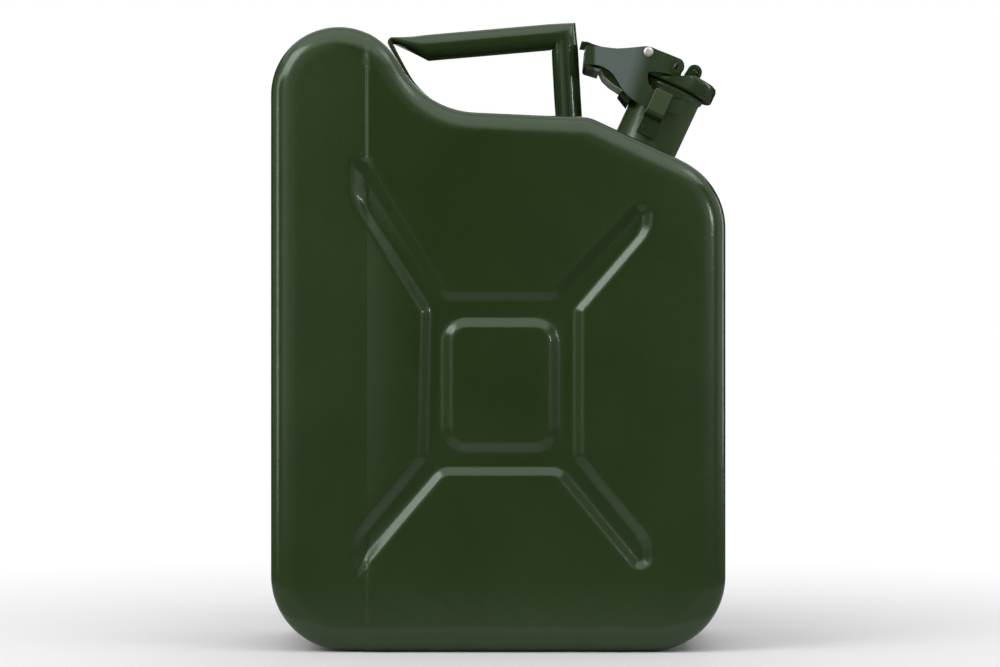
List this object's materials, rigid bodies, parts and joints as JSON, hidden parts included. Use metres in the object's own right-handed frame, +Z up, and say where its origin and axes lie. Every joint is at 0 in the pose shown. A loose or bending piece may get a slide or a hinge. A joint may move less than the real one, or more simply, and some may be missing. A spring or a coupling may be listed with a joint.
{
  "type": "fuel can",
  "caption": "Flat-sided pressed-steel fuel can with a tube handle, a sloping neck and a hinged lid shut by a lever.",
  "frame": {"origin": "middle of the base, on the surface that the can stands on", "axes": "+Z up; +X towards the pouring neck; Y across the can, with the seam plane at Y = 0"},
  "size_m": [0.28, 0.144, 0.3939],
  "materials": {
    "green_paint": "gloss dark green paint",
    "bare_steel": "bare steel",
    "gasket_rubber": "black sealing rubber"
  },
  "bodies": {
    "can": {"shell_front": "green_paint", "shell_back": "green_paint", "handle": "green_paint", "handle_foot": "green_paint", "neck_tube": "green_paint", "neck_collar": "green_paint", "breather_tube": "bare_steel", "keeper_near": "green_paint", "keeper_far": "green_paint", "hinge_bracket": "green_paint", "hinge_pin": "bare_steel"},
    "lid": {"lid": "green_paint", "gasket": "gasket_rubber", "gasket_retainer": "bare_steel", "lid_rivet": "bare_steel", "lid_arm": "green_paint", "pivot_tube": "green_paint"},
    "lever": {"lever": "green_paint", "latch_pin": "bare_steel", "latch_spring": "bare_steel"},
    "latch": {"latch": "green_paint"}
  },
  "joints": [
    {"name": "lid_hinge", "type": "hinge", "parent": "can", "child": "lid", "pos_m": [0.08299, 0, 0.36707], "axis": [0, -1, 0], "range_deg": [0, 90]},
    {"name": "lever_lift", "type": "hinge", "parent": "lid", "child": "lever", "pos_m": [0.11145, 0, 0.36351], "axis": [0, 1, 0], "range_deg": [0, 120.1]},
    {"name": "latch_pivot", "type": "hinge", "parent": "lever", "child": "latch", "pos_m": [0.09457, 0, 0.37249], "axis": [0, 1, 0], "range_deg": [0, 6]}
  ],
  "couplings": [
    {"joint": "lever_lift", "follows": "lid_hinge", "ratio": 1.3333}
  ]
}
